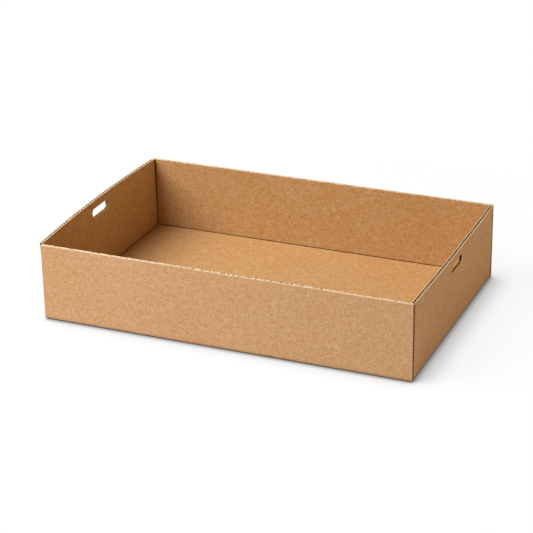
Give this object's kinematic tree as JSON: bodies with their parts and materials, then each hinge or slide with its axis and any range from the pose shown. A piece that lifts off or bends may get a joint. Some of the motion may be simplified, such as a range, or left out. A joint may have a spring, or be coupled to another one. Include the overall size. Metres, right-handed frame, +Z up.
{
  "type": "cardboard tray box",
  "caption": "Open rectangular tray folded from one sheet of plain corrugated kraft board, with an oblong hand hole in each end panel, for carrying and stacking goods.",
  "frame": {"origin": "centre of the underside of the base", "axes": "+X along the long walls to the right-hand end panel, +Y from the front wall to the back wall, +Z up"},
  "size_m": [0.6134, 0.4, 0.125],
  "materials": {
    "kraft_board": "matt brown kraft paper with a fine fibre mottle"
  },
  "bodies": {
    "root": {"tray": "kraft_board"}
  },
  "joints": []
}
